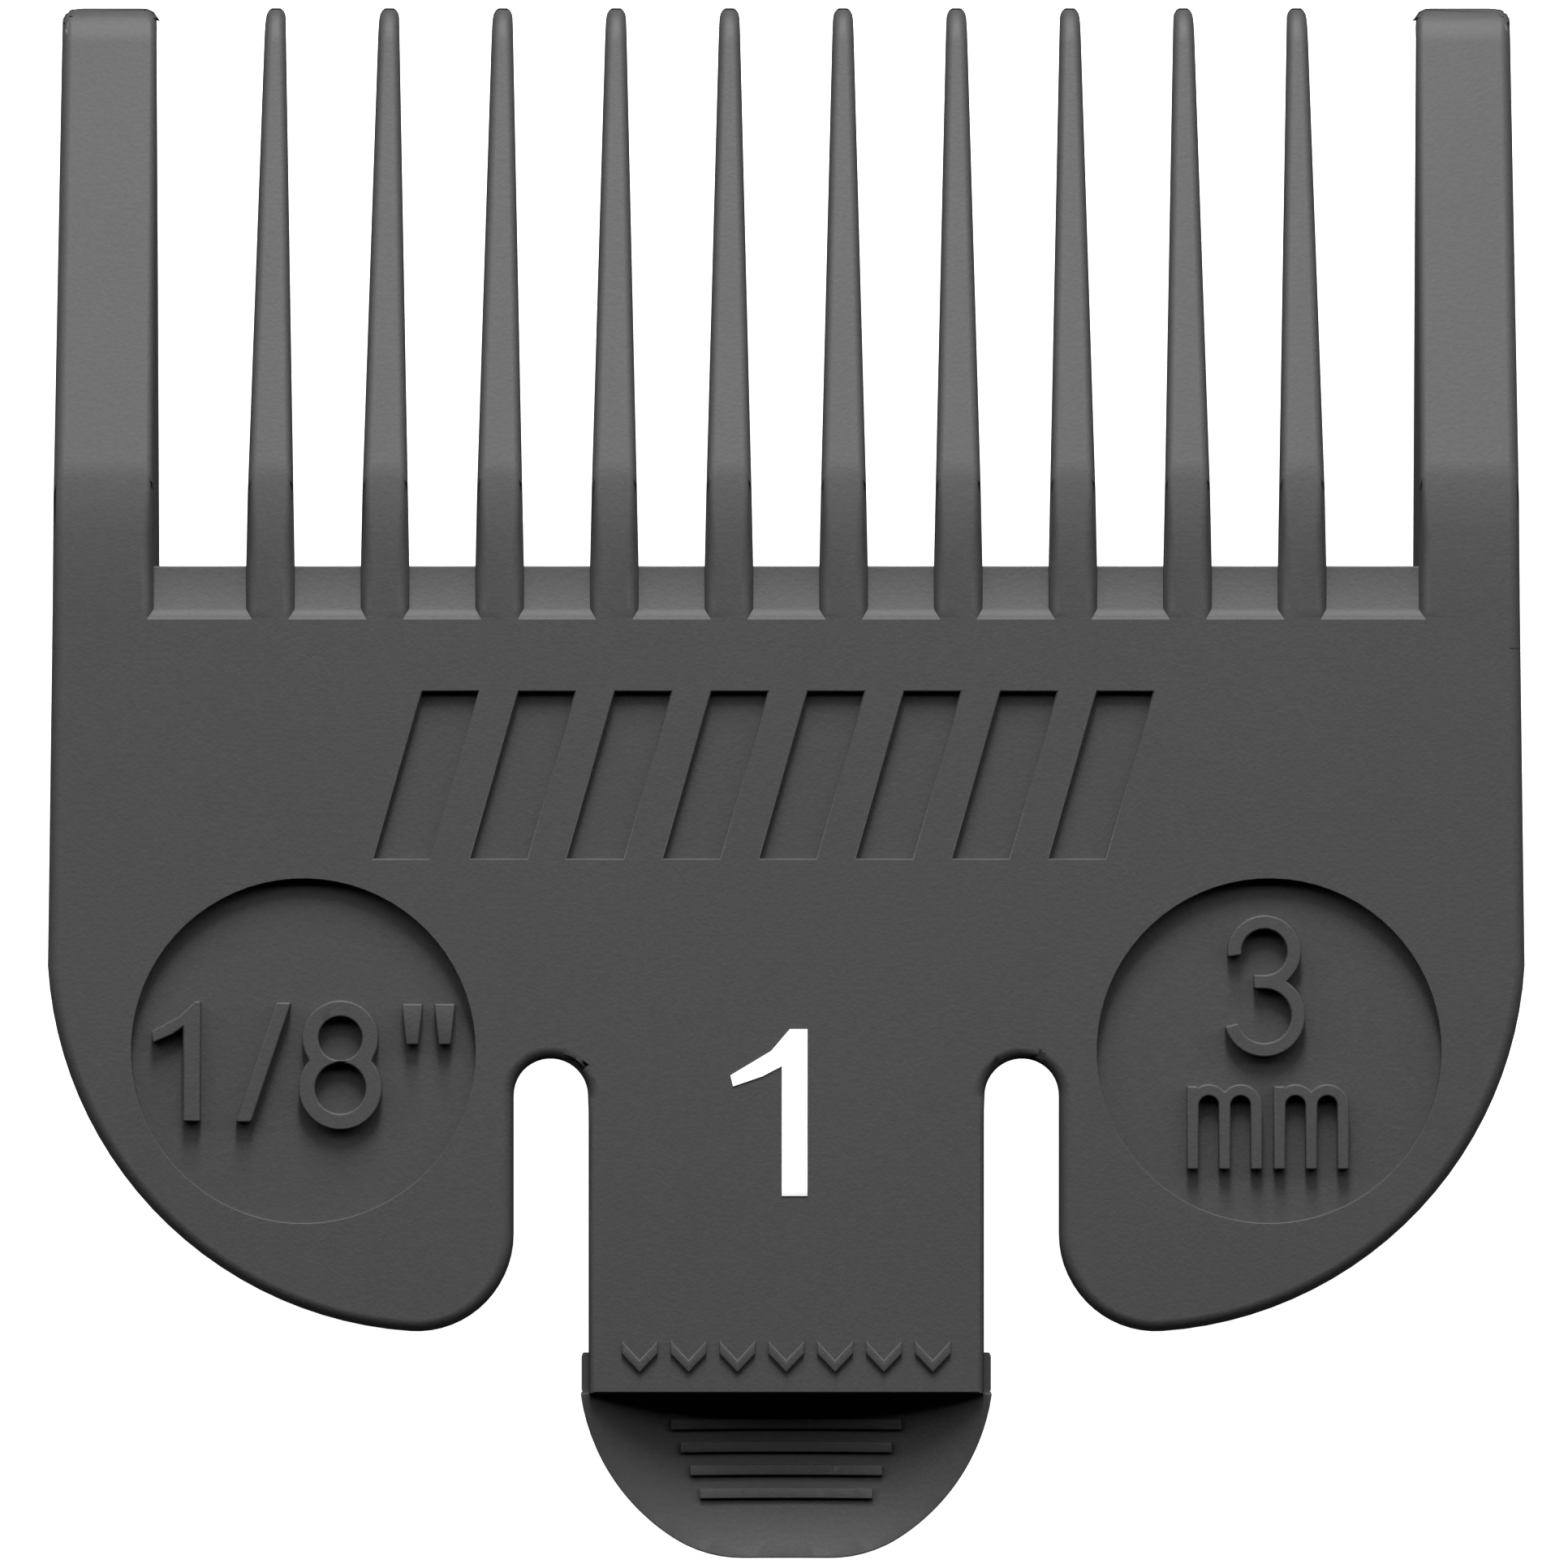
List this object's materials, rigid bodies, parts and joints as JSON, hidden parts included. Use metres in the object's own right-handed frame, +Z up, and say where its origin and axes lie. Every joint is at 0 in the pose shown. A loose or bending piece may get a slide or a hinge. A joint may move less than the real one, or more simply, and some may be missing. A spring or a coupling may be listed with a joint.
{
  "type": "clipper guard comb",
  "caption": "Clip-on clipper guard comb: flat face plate, tapered teeth between two wide end teeth, side rails, and a sprung release tongue with a hollowed thumb dish.",
  "frame": {"origin": "middle of the outline, on the plane that the side rails stand on", "axes": "+Y from the thumb dish to the tooth tips; +Z up, out of the numbered face; +X to the right of someone who reads the numbered face"},
  "size_m": [0.046, 0.0486, 0.0097],
  "materials": {
    "moulded_nylon": "fine even texture, matte",
    "print_ink": "flat white printed ink"
  },
  "bodies": {
    "comb": {"face_plate": "moulded_nylon", "tooth_bar": "moulded_nylon", "tooth_01": "moulded_nylon", "tooth_02": "moulded_nylon", "tooth_03": "moulded_nylon", "tooth_04": "moulded_nylon", "tooth_05": "moulded_nylon", "tooth_06": "moulded_nylon", "tooth_07": "moulded_nylon", "tooth_08": "moulded_nylon", "tooth_09": "moulded_nylon", "tooth_10": "moulded_nylon", "left_end_tooth": "moulded_nylon", "right_end_tooth": "moulded_nylon", "left_side_rail": "moulded_nylon", "right_side_rail": "moulded_nylon", "left_lobe_wall": "moulded_nylon", "right_lobe_wall": "moulded_nylon", "left_toe_hook": "moulded_nylon", "right_toe_hook": "moulded_nylon", "inch_figures": "moulded_nylon", "metric_figures": "moulded_nylon", "tongue_flexure": "moulded_nylon", "size_number": "print_ink"},
    "latch": {"release_tongue": "moulded_nylon", "catch_wall": "moulded_nylon", "blade_catch": "moulded_nylon", "thumb_dish": "moulded_nylon", "tongue_chevrons": "moulded_nylon", "dish_ribs": "moulded_nylon"}
  },
  "joints": [
    {"name": "release_flex", "type": "hinge", "parent": "comb", "child": "latch", "pos_m": [0, -0.0115, 0.0088], "axis": [-1, 0, 0], "range_deg": [0, 10], "stiffness_Nm_per_rad": 0.5, "deforming": ["tongue_flexure", "size_number"]}
  ]
}
